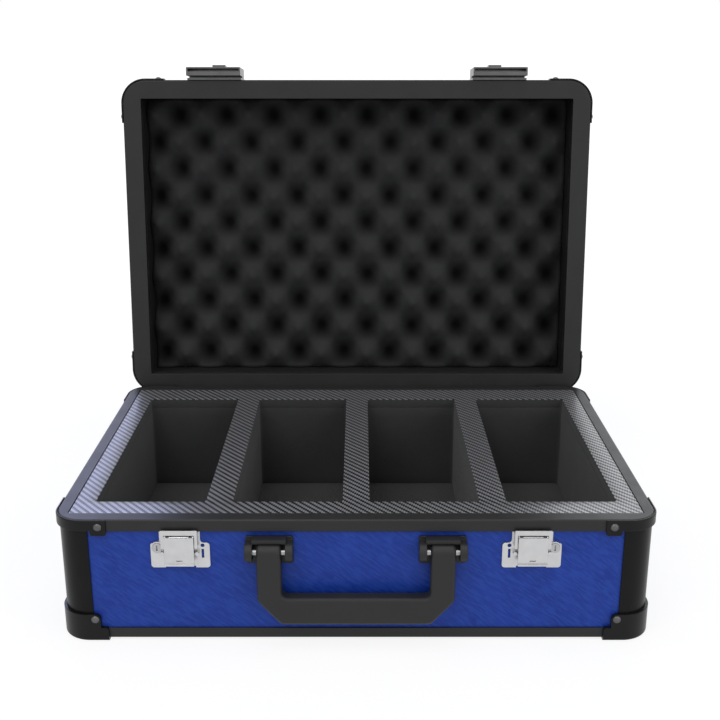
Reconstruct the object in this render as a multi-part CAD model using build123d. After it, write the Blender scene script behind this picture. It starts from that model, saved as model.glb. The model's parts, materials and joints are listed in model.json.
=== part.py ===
from build123d import *
import os
from math import cos, tau

# A hard carrying case for graded card slabs, standing open: millimetres, +X right, +Y to the back, +Z up.
# It is drawn about the centre of its base, with the floor at z = 0, and moved to its origin at the end.

# Lanes for the slabs, and the margins between them and the rim's outer face
LANE_COUNT = 4
LANE_WIDTH = 91.7
LANE_LENGTH = 254.0
LANE_DIVIDER = 22.4
LANE_CORNER_R = 3.0
SIDE_MARGIN = 28.0
FRONT_MARGIN = 36.0
REAR_MARGIN = 42.0

# Overall sizes
CASE_WIDTH = LANE_COUNT * LANE_WIDTH + (LANE_COUNT - 1) * LANE_DIVIDER + 2 * SIDE_MARGIN
CASE_DEPTH = FRONT_MARGIN + LANE_LENGTH + REAR_MARGIN
CORNER_R = 24.0
BASE_HEIGHT = 110.0
LID_HEIGHT = 68.0
SEAM_GAP = 0.3
OPEN_ANGLE = 96.0

# Walls, counted inwards from the rim's outer face
POST_INSET = 1.0
PANEL_INSET = 2.4
PANEL_THICK = 5.0
BOARD_THICK = 4.0
PANEL_BACK = PANEL_INSET + PANEL_THICK

# Rim frames
RIM_THICK = 3.0
RIM_EDGE_R = 1.5
BASE_BAND = 12.8
BASE_SIDE_BAND = 10.4
BASE_SKIRT = 10.0
LID_BAND = 19.0
LID_SKIRT = 12.0
INNER_SKIRT_THICK = 1.5
RIM_INNER_R = 1.5

# Corner posts and the edging round the outer face
POST_REACH = 28.0
POST_CORE_REACH = 24.0
POST_SKIN = 1.4
EDGING_LIFT = 2.0
EDGING_HEIGHT = 9.0
EDGING_FLANGE = 12.0
EDGING_THICK = 1.4
EDGING_EDGE_R = 0.9

# Corner boots and rim caps
BOOT_PROUD = 1.4
BOOT_HEIGHT = 24.4
BOOT_TAB_REACH = 34.0
BOOT_FOOT_REACH = 40.0
BOOT_FOOT_HEIGHT = 12.0
BOOT_SOLE_INSET = 16.0
BOOT_EDGE_R = 2.2
BOOT_TAB_R = 5.0
CAP_THICK = 1.5
CAP_HEIGHT = 9.0
CAP_REACH = 43.8
CAP_TAB_WIDTH = 13.0
CAP_TAB_HEIGHT = 13.4
CAP_TAB_R = 2.0
CAP_EDGE_R = 1.0

# Domed rivets
RIVET_HEAD_R = 3.4
RIVET_HEAD_HEIGHT = 1.7
RIVET_SHANK_R = 2.0
RIVET_CLEARANCE = 0.05
CAP_RIVET_IN = CAP_REACH - CAP_TAB_WIDTH / 2
CAP_RIVET_DROP = 6.0
BOOT_RIVET_IN = 29.6
BOOT_RIVET_UP = 20.0

# Rear hinge
HINGE_DROP = 5.85
HINGE_INSET = 1.05
HINGE_CAP_GAP = 2.2
HINGE_LENGTH = CASE_WIDTH - 2 * (CAP_REACH + HINGE_CAP_GAP)
HINGE_KNUCKLES = 15
BARREL_R = 3.5
HINGE_PIN_R = 1.5
PIN_CLEARANCE = 0.05
LEAF_THICK = 1.2
LEAF_HEIGHT = 25.0
KNUCKLE_GAP = 0.4
HINGE_CLEARANCE = 0.4
LEAF_RIVETS = 8
LEAF_RIVET_IN = 17.0
LEAF_RIVET_OUT = 18.0
LEAF_RIVET_HEAD_R = 2.6
LEAF_RIVET_HEAD_HEIGHT = 0.9
LEAF_RIVET_SHANK_R = 1.4

# Foam insert
FOAM_CLEARANCE = 0.2
FOAM_PAD_THICK = 5.0
TOP_SHEET_THICK = 1.0
FOAM_RECESS = 0.5

# Egg-crate foam in the lid
CRATE_PITCH_X = 50.7
CRATE_PITCH_Y = 58.4
CRATE_PHASE_X = 10.6
CRATE_PHASE_Y = -15.2
CRATE_PEAK = 27.0
CRATE_VALLEY = 57.0
CRATE_STEPS = 8
CRATE_CLEARANCE = 0.6

# Handle, its pins and brackets
HANDLE_X = 70.0
HANDLE_PIN_BELOW_RIM = 25.0
HANDLE_PIN_OUT = 9.5
HANDLE_DROP = 63.0
HANDLE_GRIP = 24.0
HANDLE_ARM = 20.0
HANDLE_THICK = 13.0
HANDLE_CHAMFER_X = 19.0
HANDLE_CHAMFER_Z = 21.0
HANDLE_CORNER_R = 8.0
HANDLE_INNER_R = 5.0
HANDLE_EDGE_R = 3.0
HANDLE_PIN_R = 2.5
BRACKET_WIDTH = 38.6
BRACKET_CHEEK = 6.0
BRACKET_CHEEK_R = 7.5
BRACKET_PLATE = 2.0
BRACKET_ABOVE = 10.5
BRACKET_BELOW = 13.5
BRACKET_ROOF_WIDTH = 27.7
BRACKET_ROOF_THICK = 3.3
BRACKET_ROOF_OUT = 10.0
BRACKET_CORNER_R = 2.0

# Front latches, whose heights are counted from the lever's pivot
LATCH_IN = 102.5
LATCH_X = CASE_WIDTH / 2 - LATCH_IN
LATCH_WIDTH = 48.0
LATCH_BODY = 22.2
LATCH_NECK_WIDTH = 33.0
LATCH_NECK = 10.0
LATCH_PLATE = 1.5
LATCH_RECESS = 1.6
LATCH_CORNER_R = 2.5
LATCH_FILLET_R = 3.0
LATCH_BELOW = 27.8
LEVER_WIDTH = 24.0
LEVER_PIVOT_BELOW_RIM = 15.0
LEVER_PIVOT_OUT = 4.6
LEVER_ABOVE = 1.5
LEVER_BELOW = 22.7
LEVER_FACE_OUT = 6.8
LEVER_SHEET = 1.2
LEVER_CHEEK_DROP = 15.0
LEVER_EYE_R = 2.4
LEVER_LIP = 1.6
LEVER_PIN_R = 1.0
LEVER_LUG_WIDTH = 16.0
LEVER_LUG_R = 1.9
LEVER_SLOT_UP = 3.5
CLAW_WIDTH = 29.6
CLAW_BAR_ABOVE = 2.8
CLAW_TOP_ABOVE = 7.0
CLAW_LEG_BELOW = 9.0
CLAW_OUT = 4.8
CLAW_THICK = 1.2
CLAW_SIDE_GAP = 0.3
CLAW_GUIDE_GAP = 0.2
STUD_X = 14.0
STUD_BELOW = 13.8
STUD_R = 1.7
STUD_OUT = 5.4
GUIDE_BELOW = 5.5
LOCK_X = 18.3
LOCK_BELOW = 9.5
LOCK_R = 4.2
LOCK_CLEARANCE = 0.08
LOCK_OUT = 3.6
LOCK_BOSS_R = 5.4
LOCK_BOSS_OUT = 3.0
KEYWAY_WIDTH = 1.2
KEYWAY_LENGTH = 5.0
KEYWAY_DEPTH = 1.8
EAR_HOLE_R = 1.6
EAR_SLOT_WIDTH = 2.0
EAR_SLOT_LENGTH = 8.0

# Strikes on the lid's front wall
STRIKE_IN = 22.0
STRIKE_OUT = 34.0
STRIKE_PLATE = 2.0
STRIKE_SLOT = 2.0
STRIKE_PROUD = 12.5
STRIKE_BELOW = 7.0
STRIKE_DEPTH = 46.0
STRIKE_HOOD = 30.0
STRIKE_SLOT_DEPTH = 14.0
STRIKE_POCKET_IN = 1.5
STRIKE_POCKET_HEIGHT = 3.0
STRIKE_POCKET_DEPTH = 20.0
STRIKE_TAB_WIDTH = 13.0
STRIKE_TAB_HEIGHT = 2.0
STRIKE_TAB_LENGTH = 12.0
STRIKE_EDGE_R = 1.0

# Places that follow from the sizes
OVER = 1.0
LID_SEAM_Z = BASE_HEIGHT + SEAM_GAP
AXIS_Y = CASE_DEPTH / 2 - HINGE_INSET
AXIS_Z = BASE_HEIGHT - HINGE_DROP
FRONT_FACE_Y = -(CASE_DEPTH / 2 - PANEL_INSET)
LEAF_FACE_Y = CASE_DEPTH / 2 - PANEL_INSET
HANDLE_PIN_Z = BASE_HEIGHT - HANDLE_PIN_BELOW_RIM
LEVER_PIVOT_Z = BASE_HEIGHT - LEVER_PIVOT_BELOW_RIM
LATCH_Z = LEVER_PIVOT_Z - LATCH_BELOW
CLAW_BAR_Z = LEVER_PIVOT_Z + CLAW_BAR_ABOVE
CLAW_TOP_Z = LEVER_PIVOT_Z + CLAW_TOP_ABOVE
CLAW_LEG_Z = LEVER_PIVOT_Z - CLAW_LEG_BELOW
STUD_Z = LEVER_PIVOT_Z - STUD_BELOW
GUIDE_Z = LEVER_PIVOT_Z - GUIDE_BELOW
LOCK_Z = LEVER_PIVOT_Z - LOCK_BELOW
BOARD_LEVEL = EDGING_LIFT + EDGING_THICK
FLOOR_LEVEL = BOARD_LEVEL + BOARD_THICK


# Plain solids

def block(x0, x1, y0, y1, z0, z1):
    """A box between two opposite corners."""
    return Pos((x0 + x1) / 2, (y0 + y1) / 2, (z0 + z1) / 2) * Box(x1 - x0, y1 - y0, z1 - z0)


def rod_x(radius, x0, x1, y, z):
    """A round bar along X."""
    return Pos((x0 + x1) / 2, y, z) * Rot(0, 90, 0) * Cylinder(radius, x1 - x0)


def rod_y(radius, x, y0, y1, z):
    """A round bar along Y."""
    return Pos(x, (y0 + y1) / 2, z) * Rot(90, 0, 0) * Cylinder(radius, y1 - y0)


def front_block(x0, x1, out0, out1, z0, z1):
    """A box in front of the base, its Y given as the distance out from the front panel's face."""
    return block(x0, x1, FRONT_FACE_Y - out1, FRONT_FACE_Y - out0, z0, z1)


def plan(inset, z0, z1, corner_r=None, side_inset=None):
    """A slab of the case's plan outline, drawn in by inset, with concentric corners unless told otherwise."""
    corner_r = CORNER_R - inset if corner_r is None else corner_r
    side_inset = inset if side_inset is None else side_inset
    outline = RectangleRounded(CASE_WIDTH - 2 * side_inset, CASE_DEPTH - 2 * inset, corner_r)
    return extrude(Pos(0, 0, z0) * outline, amount=z1 - z0)


def ring(outer, inner, z0, z1, inner_r=None, inner_side=None):
    """A wall that follows the plan outline between two insets."""
    return plan(outer, z0, z1) - plan(inner, z0 - OVER, z1 + OVER, inner_r, inner_side)


def four_corners(piece):
    """The front left piece, its two mirror images and its half turn."""
    return {
        "front_left": piece,
        "front_right": mirror(piece, about=Plane.YZ),
        "rear_left": mirror(piece, about=Plane.XZ),
        "rear_right": Rot(0, 0, 180) * piece,
    }


def corner_blocks(reach, z0, z1):
    """Square columns at the four corners of the plan, as far in as reach."""
    x, y = CASE_WIDTH / 2, CASE_DEPTH / 2
    column = block(-x - OVER, -x + reach, -y - OVER, -y + reach, z0, z1)
    return Part() + list(four_corners(column).values())


def corner_legs(outline, z):
    """An elevation outline about the sharp front left corner, run along both of its walls."""
    front = extrude(Plane.XZ * outline, amount=POST_CORE_REACH, both=True)
    return Pos(-CASE_WIDTH / 2, -CASE_DEPTH / 2, z) * (front + Rot(0, 0, 90) * front)


# One half of the case, drawn with its parting face at z = 0 and its outer face below, at z = -height

def rim_frame(band, side_band, skirt):
    """The flat band round the mouth, with its outer and inner skirts."""
    outer = plan(0, -skirt, 0)
    outer = fillet(outer.edges().group_by(Axis.Z)[-1], RIM_EDGE_R)
    frame = outer - plan(band, -skirt - OVER, OVER, RIM_INNER_R, side_band)
    inner, inner_side = band - INNER_SKIRT_THICK, side_band - INNER_SKIRT_THICK
    return frame - ring(PANEL_INSET, inner, -skirt - OVER, -RIM_THICK, RIM_INNER_R, inner_side)


def panels(height):
    """The four wall boards, held between the corner posts."""
    z0, z1 = BOARD_LEVEL - height, -RIM_THICK
    half_x = CASE_WIDTH / 2
    half_y = CASE_DEPTH / 2
    end_x = half_x - POST_CORE_REACH
    end_y = half_y - POST_CORE_REACH
    return {
        "front_panel": block(-end_x, end_x, -half_y + PANEL_INSET, -half_y + PANEL_BACK, z0, z1),
        "rear_panel": block(-end_x, end_x, half_y - PANEL_BACK, half_y - PANEL_INSET, z0, z1),
        "left_panel": block(-half_x + PANEL_INSET, -half_x + PANEL_BACK, -end_y, end_y, z0, z1),
        "right_panel": block(half_x - PANEL_BACK, half_x - PANEL_INSET, -end_y, end_y, z0, z1),
    }


def outer_board(height):
    """The board that closes the half, inside the wall boards."""
    return plan(PANEL_BACK, BOARD_LEVEL - height, FLOOR_LEVEL - height)


def corner_posts(height, skirt):
    """Four rounded hollow posts, with flanges that lap over the wall boards' ends."""
    z0, z1 = EDGING_LIFT + EDGING_HEIGHT - height, -skirt
    lap = ring(POST_INSET, PANEL_INSET, z0, z1) & corner_blocks(POST_REACH, z0, z1)
    core = ring(POST_INSET, PANEL_BACK, z0, z1) & corner_blocks(POST_CORE_REACH, z0, z1)
    bore = ring(PANEL_INSET, PANEL_BACK - POST_SKIN, z0 - OVER, z1 + OVER)
    bore = bore & corner_blocks(POST_CORE_REACH - POST_SKIN, z0 - OVER, z1 + OVER)
    return lap + core - bore


def edging(height):
    """The angle round the outer face's edge: a wall over the boards' ends and a flange under them."""
    z0 = EDGING_LIFT - height
    wall = ring(POST_INSET, PANEL_INSET, z0, z0 + EDGING_HEIGHT)
    flange = plan(POST_INSET, z0, z0 + EDGING_THICK) - plan(
        POST_INSET + EDGING_FLANGE, z0 - OVER, z0 + EDGING_THICK + OVER
    )
    angle = wall + flange
    outer_edges = angle.edges().group_by(Axis.Z)[0]
    outer_edges = [e for e in outer_edges if e.center().length > 0 and on_outline(e, POST_INSET)]
    return fillet(outer_edges, EDGING_EDGE_R)


def on_outline(edge, inset):
    """Whether an edge lies on the plan outline drawn in by inset."""
    box = edge.bounding_box()
    reach_x, reach_y = CASE_WIDTH / 2 - inset, CASE_DEPTH / 2 - inset
    touches_x = max(abs(box.min.X), abs(box.max.X)) > reach_x - 0.01
    touches_y = max(abs(box.min.Y), abs(box.max.Y)) > reach_y - 0.01
    return touches_x or touches_y


def corner_boot(height, posts, angle):
    """The front left boot: it wraps the corner, laps on to both walls and carries the half's weight."""
    z0 = -height
    outer = plan(-BOOT_PROUD, z0, z0 + BOOT_HEIGHT)
    outer = fillet(outer.edges().group_by(Axis.Z)[0], BOOT_EDGE_R)
    shell = outer - plan(PANEL_INSET, z0 + EDGING_LIFT, z0 + BOOT_HEIGHT + OVER)
    shell = shell - plan(BOOT_SOLE_INSET, z0 - OVER, z0 + EDGING_LIFT + OVER)
    tall = RectangleRounded(2 * BOOT_TAB_REACH, 2 * BOOT_HEIGHT, BOOT_TAB_R)
    foot = RectangleRounded(2 * BOOT_FOOT_REACH, 2 * BOOT_FOOT_HEIGHT, BOOT_EDGE_R)
    return (shell & corner_legs(tall + foot, z0)) - posts - angle


def rim_cap():
    """The front left cap: a strip that wraps the rim's corner, with a riveted tab at each end."""
    outer = plan(-CAP_THICK, -CAP_TAB_HEIGHT, 0)
    outer = fillet(outer.edges().group_by(Axis.Z)[-1], CAP_EDGE_R)
    shell = outer - plan(0, -CAP_TAB_HEIGHT - OVER, OVER)
    strip = RectangleRounded(2 * CAP_REACH, 2 * CAP_HEIGHT, CAP_TAB_R)
    tab = Pos(CAP_RIVET_IN, 0) * RectangleRounded(CAP_TAB_WIDTH, 2 * CAP_TAB_HEIGHT, CAP_TAB_R)
    return shell & corner_legs(strip + tab, 0)


def rivet(head_r, head_height, shank_r, grip):
    """A domed rivet with its head's seat at the origin, pointing along +Z, and its shank below."""
    sphere_r = (head_r**2 + head_height**2) / (2 * head_height)
    dome = Pos(0, 0, head_height - sphere_r) * Sphere(sphere_r)
    dome = dome & block(-head_r, head_r, -head_r, head_r, 0, head_height)
    return dome + Pos(0, 0, -grip / 2) * Cylinder(shank_r, grip)


def on_wall(piece, x, y, z, wall):
    """A piece that points along +Z, turned to point out of the front or left wall, or the rear one."""
    turns = {"front": Rot(90, 0, 0), "left": Rot(0, -90, 0), "rear": Rot(-90, 0, 0)}
    return Pos(x, y, z) * turns[wall] * piece


def corner_fasteners(height):
    """The rivets of the front left cap and boot, and the drills for their holes."""
    half_x, half_y = CASE_WIDTH / 2, CASE_DEPTH / 2
    rivets, drills = Part(), Part()
    seats = [
        (CAP_RIVET_IN, -CAP_RIVET_DROP, CAP_THICK, CAP_THICK + PANEL_INSET),
        (BOOT_RIVET_IN, BOOT_RIVET_UP - height, BOOT_PROUD, BOOT_PROUD + PANEL_INSET),
    ]
    for inward, z, proud, grip in seats:
        one = rivet(RIVET_HEAD_R, RIVET_HEAD_HEIGHT, RIVET_SHANK_R, grip)
        drill = Cylinder(RIVET_SHANK_R + RIVET_CLEARANCE, 2 * grip)
        places = [(-half_x + inward, -half_y - proud, "front"), (-half_x - proud, -half_y + inward, "left")]
        for x, y, wall in places:
            rivets += on_wall(one, x, y, z, wall)
            drills += on_wall(drill, x, y, z, wall)
    return rivets, drills


def leaf_fasteners(z):
    """The small rivets of one hinge leaf, and the drills for their holes."""
    rivets, drills = Part(), Part()
    one = rivet(LEAF_RIVET_HEAD_R, LEAF_RIVET_HEAD_HEIGHT, LEAF_RIVET_SHANK_R, LEAF_THICK + PANEL_THICK / 2)
    drill = Cylinder(LEAF_RIVET_SHANK_R + RIVET_CLEARANCE, 2 * LEAF_THICK + PANEL_THICK + OVER)
    pitch = (HINGE_LENGTH - 2 * LEAF_RIVET_IN) / (LEAF_RIVETS - 1)
    for i in range(LEAF_RIVETS):
        x = (i - (LEAF_RIVETS - 1) / 2) * pitch
        rivets += on_wall(one, x, LEAF_FACE_Y + LEAF_THICK, z, "rear")
        drills += on_wall(drill, x, LEAF_FACE_Y + LEAF_THICK, z, "rear")
    return rivets, drills


def leaf_notch(skirt):
    """The gap in a rear skirt that lets a hinge leaf lie on the rear board."""
    half = HINGE_LENGTH / 2 + HINGE_CLEARANCE
    return block(-half, half, LEAF_FACE_Y, CASE_DEPTH / 2 + OVER, -skirt - OVER, OVER)


def barrel_notch():
    """The room that the base's rear edge leaves for the hinge barrel and the lid's moving leaf."""
    half = HINGE_LENGTH / 2 + HINGE_CLEARANCE
    room = BARREL_R + HINGE_CLEARANCE
    well = rod_x(room, -half, half, AXIS_Y, -HINGE_DROP)
    path = block(-half, half, LEAF_FACE_Y - HINGE_CLEARANCE, CASE_DEPTH / 2 + OVER, -HINGE_DROP - room, OVER)
    return well + path


def swing_relief():
    """What the base's rear edge gives up so that the lid's rim can roll past it."""
    y1, z1 = CASE_DEPTH / 2 + CAP_THICK + OVER, OVER
    corner = block(-CASE_WIDTH, CASE_WIDTH, AXIS_Y, y1, -HINGE_DROP, z1)
    return corner - rod_x(HINGE_DROP, -CASE_WIDTH - OVER, CASE_WIDTH + OVER, AXIS_Y, -HINGE_DROP)


def half_case(prefix, height, band, side_band, skirt, leaf_level):
    """Every fixed piece that the base and the lid have alike, by name."""
    rivets, drills = corner_fasteners(height)
    rivets = Part() + list(four_corners(rivets).values())
    drills = Part() + list(four_corners(drills).values())
    leaf_rivets, leaf_drills = leaf_fasteners(leaf_level)
    posts = corner_posts(height, skirt)
    angle = edging(height)
    pieces = {"rim_frame": rim_frame(band, side_band, skirt) - leaf_notch(skirt) - drills}
    pieces.update(panels(height))
    pieces["rear_panel"] -= leaf_drills
    pieces["outer_board"] = outer_board(height)
    pieces["corner_posts"] = posts - drills
    pieces["edging"] = angle
    for name, boot in four_corners(corner_boot(height, posts, angle)).items():
        pieces["boot_" + name] = boot - drills
    for name, cap in four_corners(rim_cap()).items():
        pieces["rim_cap_" + name] = cap - drills
    pieces["rivets"] = rivets + leaf_rivets
    return {prefix + "_" + name: piece for name, piece in pieces.items()}


# The base

def base_shell():
    """The base's fixed pieces, in place."""
    leaf_level = -HINGE_DROP - LEAF_RIVET_OUT
    pieces = half_case("base", BASE_HEIGHT, BASE_BAND, BASE_SIDE_BAND, BASE_SKIRT, leaf_level)
    notch, relief = barrel_notch(), swing_relief()
    pieces["base_rim_frame"] -= notch
    pieces["base_rear_panel"] -= notch
    for name in ("base_rim_cap_rear_left", "base_rim_cap_rear_right"):
        pieces[name] -= relief
    return {name: Pos(0, 0, BASE_HEIGHT) * piece for name, piece in pieces.items()}


def lane_places():
    """The X of each lane's middle."""
    pitch = LANE_WIDTH + LANE_DIVIDER
    return [(i - (LANE_COUNT - 1) / 2) * pitch for i in range(LANE_COUNT)]


def lane_cuts(z0, z1):
    """The four lanes, from one level to another."""
    outline = RectangleRounded(LANE_WIDTH, LANE_LENGTH, LANE_CORNER_R)
    lane = extrude(Pos(0, (FRONT_MARGIN - REAR_MARGIN) / 2, z0) * outline, amount=z1 - z0)
    return Part() + [Pos(x, 0, 0) * lane for x in lane_places()]


def foam_pieces():
    """The pad under the lanes, the insert that they are cut through, and the textured sheet on top."""
    wide = PANEL_BACK + FOAM_CLEARANCE
    narrow, side = BASE_BAND + FOAM_CLEARANCE, BASE_SIDE_BAND + FOAM_CLEARANCE
    pad_top = FLOOR_LEVEL + FOAM_PAD_THICK
    step = BASE_HEIGHT - BASE_SKIRT - FOAM_CLEARANCE
    sheet_top = BASE_HEIGHT - FOAM_RECESS
    sheet_under = sheet_top - TOP_SHEET_THICK
    insert = plan(wide, pad_top, step) + plan(narrow, step, sheet_under, RIM_INNER_R, side)
    sheet = plan(narrow, sheet_under, sheet_top, RIM_INNER_R, side)
    return {
        "foam_base_pad": plan(wide, FLOOR_LEVEL, pad_top),
        "foam_insert": insert - lane_cuts(pad_top - OVER, sheet_under + OVER),
        "foam_top_sheet": sheet - lane_cuts(sheet_under - OVER, sheet_top + OVER),
    }


# The hinge, drawn with the case shut

def knuckle_span(index):
    """Where one knuckle of the hinge starts and ends along X."""
    pitch = HINGE_LENGTH / HINGE_KNUCKLES
    start = -HINGE_LENGTH / 2 + index * pitch
    return start + KNUCKLE_GAP / 2, start + pitch - KNUCKLE_GAP / 2


def hinge_leaf(own, other, z0, z1):
    """A leaf with its own knuckles, cut clear of the other leaf's."""
    leaf = block(-HINGE_LENGTH / 2, HINGE_LENGTH / 2, LEAF_FACE_Y, LEAF_FACE_Y + LEAF_THICK, z0, z1)
    leaf += [rod_x(BARREL_R, *knuckle_span(i), AXIS_Y, AXIS_Z) for i in own]
    room = BARREL_R + HINGE_CLEARANCE
    for i in other:
        start, end = knuckle_span(i)
        leaf -= rod_x(room, start - KNUCKLE_GAP, end + KNUCKLE_GAP, AXIS_Y, AXIS_Z)
    bore_r = HINGE_PIN_R + PIN_CLEARANCE
    return leaf - rod_x(bore_r, -HINGE_LENGTH / 2 - OVER, HINGE_LENGTH / 2 + OVER, AXIS_Y, AXIS_Z)


def hinge_pieces():
    """Both leaves and the pin through their knuckles."""
    evens, odds = range(0, HINGE_KNUCKLES, 2), range(1, HINGE_KNUCKLES, 2)
    base_rivets, base_drills = leaf_fasteners(AXIS_Z - LEAF_RIVET_OUT)
    lid_rivets, lid_drills = leaf_fasteners(AXIS_Z + LEAF_RIVET_OUT)
    return {
        "hinge_base_leaf": hinge_leaf(evens, odds, AXIS_Z - LEAF_HEIGHT, AXIS_Z) - base_drills,
        "hinge_lid_leaf": hinge_leaf(odds, evens, AXIS_Z, AXIS_Z + LEAF_HEIGHT) - lid_drills,
        "hinge_pin": rod_x(HINGE_PIN_R, -HINGE_LENGTH / 2, HINGE_LENGTH / 2, AXIS_Y, AXIS_Z),
    }


# Handle

def handle_grip():
    """The swing handle, hanging: two flat arms, a deep grip and cut-off lower corners."""
    half = HANDLE_X + HANDLE_ARM / 2
    inner = HANDLE_X - HANDLE_ARM / 2
    corner_x = half - HANDLE_CHAMFER_X
    corner_z = HANDLE_CHAMFER_Z - HANDLE_DROP
    grip_top = HANDLE_GRIP - HANDLE_DROP
    outer = Polygon(
        (-half, 0), (-half, corner_z), (-corner_x, -HANDLE_DROP),
        (corner_x, -HANDLE_DROP), (half, corner_z), (half, 0), align=None,
    )
    bends = [v for v in outer.vertices() if v.Y < -OVER]
    outer = fillet(bends, HANDLE_CORNER_R)
    gap = Rectangle(2 * inner, -grip_top, align=(Align.CENTER, Align.MAX))
    gap = fillet(gap.vertices().group_by(Axis.Y)[0], HANDLE_INNER_R)
    body = extrude(Plane.XZ * (outer - gap), amount=HANDLE_THICK / 2, both=True)
    rims = [e for e in body.edges() if on_handle_face(e)]
    body = fillet(rims, HANDLE_EDGE_R)
    for x in (-HANDLE_X, HANDLE_X):
        end = rod_x(HANDLE_THICK / 2, x - HANDLE_ARM / 2, x + HANDLE_ARM / 2, 0, 0)
        body += fillet(end.edges().filter_by(GeomType.CIRCLE), HANDLE_EDGE_R)
    body -= rod_x(HANDLE_PIN_R + PIN_CLEARANCE, -half - OVER, half + OVER, 0, 0)
    return Pos(0, FRONT_FACE_Y - HANDLE_PIN_OUT, HANDLE_PIN_Z) * body


def on_handle_face(edge):
    """Whether an edge runs round the handle's front or back face, away from the arms' ends."""
    box = edge.bounding_box()
    flat = abs(box.max.Y - box.min.Y) < 0.01 and abs(abs(box.max.Y) - HANDLE_THICK / 2) < 0.01
    return flat and box.min.Z < -0.01


def handle_bracket(x):
    """A fork that carries one arm: a plate on the front board, two rounded cheeks and a roof."""
    half = BRACKET_WIDTH / 2
    plate_outline = RectangleRounded(BRACKET_WIDTH, BRACKET_ABOVE + BRACKET_BELOW, BRACKET_CORNER_R)
    plate = extrude(Plane.XZ * plate_outline, amount=BRACKET_PLATE)
    bracket = Pos(0, FRONT_FACE_Y, (BRACKET_ABOVE - BRACKET_BELOW) / 2) * plate
    for x0, x1 in ((-half, BRACKET_CHEEK - half), (half - BRACKET_CHEEK, half)):
        bracket += front_block(x0, x1, 0, HANDLE_PIN_OUT, -BRACKET_CHEEK_R, BRACKET_CHEEK_R)
        bracket += rod_x(BRACKET_CHEEK_R, x0, x1, FRONT_FACE_Y - HANDLE_PIN_OUT, 0)
    roof_half = BRACKET_ROOF_WIDTH / 2
    roof_under = BRACKET_ABOVE - BRACKET_ROOF_THICK
    bracket += front_block(-roof_half, roof_half, 0, BRACKET_ROOF_OUT, roof_under, BRACKET_ABOVE)
    bore_y = FRONT_FACE_Y - HANDLE_PIN_OUT
    bracket -= rod_x(HANDLE_PIN_R + PIN_CLEARANCE, -half - OVER, half + OVER, bore_y, 0)
    return Pos(x, 0, HANDLE_PIN_Z) * bracket


def handle_pieces():
    """The handle, both brackets and both pins."""
    half, y = BRACKET_WIDTH / 2, FRONT_FACE_Y - HANDLE_PIN_OUT
    pins = [rod_x(HANDLE_PIN_R, x - half, x + half, y, HANDLE_PIN_Z) for x in (-HANDLE_X, HANDLE_X)]
    return {
        "handle_grip": handle_grip(),
        "handle_bracket_left": handle_bracket(-HANDLE_X),
        "handle_bracket_right": handle_bracket(HANDLE_X),
        "handle_pins": Part() + pins,
    }


# Latches: the left one, drawn about x = 0 with the key's side at -x

def latch_plate():
    """The fixed plate: a wide body with the lock's boss, a neck, the lever's lug and the claw's guides."""
    outline = RectangleRounded(LATCH_WIDTH, LATCH_BODY, LATCH_CORNER_R)
    outline += Pos(0, LATCH_BODY / 2) * Rectangle(LATCH_NECK_WIDTH, 2 * LATCH_NECK)
    outline = fillet([v for v in outline.vertices() if at_neck_root(v)], LATCH_FILLET_R)
    plate = Pos(0, FRONT_FACE_Y, LATCH_Z + LATCH_BODY / 2) * extrude(Plane.XZ * outline, amount=LATCH_PLATE)
    recess_half = LEVER_WIDTH / 2 + CLAW_SIDE_GAP
    plate -= front_block(-recess_half, recess_half, -OVER, 2, LATCH_Z - OVER, LATCH_Z + LATCH_RECESS)
    plate += rod_y(LOCK_BOSS_R, -LOCK_X, FRONT_FACE_Y - LOCK_BOSS_OUT, FRONT_FACE_Y, LOCK_Z)
    plate -= rod_y(LOCK_R + LOCK_CLEARANCE, -LOCK_X, FRONT_FACE_Y - LOCK_OUT - OVER, FRONT_FACE_Y + OVER, LOCK_Z)
    plate -= rod_y(EAR_HOLE_R, LOCK_X, FRONT_FACE_Y - 2 * LATCH_PLATE, FRONT_FACE_Y + OVER, LOCK_Z + EAR_HOLE_R)
    slot_top = LOCK_Z - EAR_HOLE_R
    slot_half = EAR_SLOT_WIDTH / 2
    plate -= front_block(
        LOCK_X - slot_half, LOCK_X + slot_half, -OVER, 2 * LATCH_PLATE, slot_top - EAR_SLOT_LENGTH, slot_top
    )
    lug_half, pivot_y = LEVER_LUG_WIDTH / 2, FRONT_FACE_Y - LEVER_PIVOT_OUT
    lug = front_block(
        -lug_half, lug_half, 0, LEVER_PIVOT_OUT, LEVER_PIVOT_Z - LEVER_LUG_R, LEVER_PIVOT_Z + LEVER_LUG_R
    )
    lug += rod_x(LEVER_LUG_R, -lug_half, lug_half, pivot_y, LEVER_PIVOT_Z)
    plate += lug - rod_x(LEVER_PIN_R + PIN_CLEARANCE, -LATCH_WIDTH, LATCH_WIDTH, pivot_y, LEVER_PIVOT_Z)
    return plate + claw_guides()


def at_neck_root(vertex):
    """Whether a point of the plate's outline lies where its neck leaves its body."""
    return abs(vertex.Y - LATCH_BODY / 2) < 0.01 and abs(abs(vertex.X) - LATCH_NECK_WIDTH / 2) < 0.01


def claw_guides():
    """The pads that the claw's legs slide on, and the studs below them."""
    inner, outer = LEVER_WIDTH / 2 + CLAW_SIDE_GAP, CLAW_WIDTH / 2
    stud_y = FRONT_FACE_Y - STUD_OUT
    guides = Part()
    for side in (-1, 1):
        x0, x1 = sorted((side * inner, side * outer))
        guides += front_block(x0, x1, 0, CLAW_OUT - CLAW_GUIDE_GAP, GUIDE_Z, CLAW_BAR_Z)
        guides += rod_y(STUD_R, side * STUD_X, stud_y, FRONT_FACE_Y, STUD_Z)
    return guides


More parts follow.
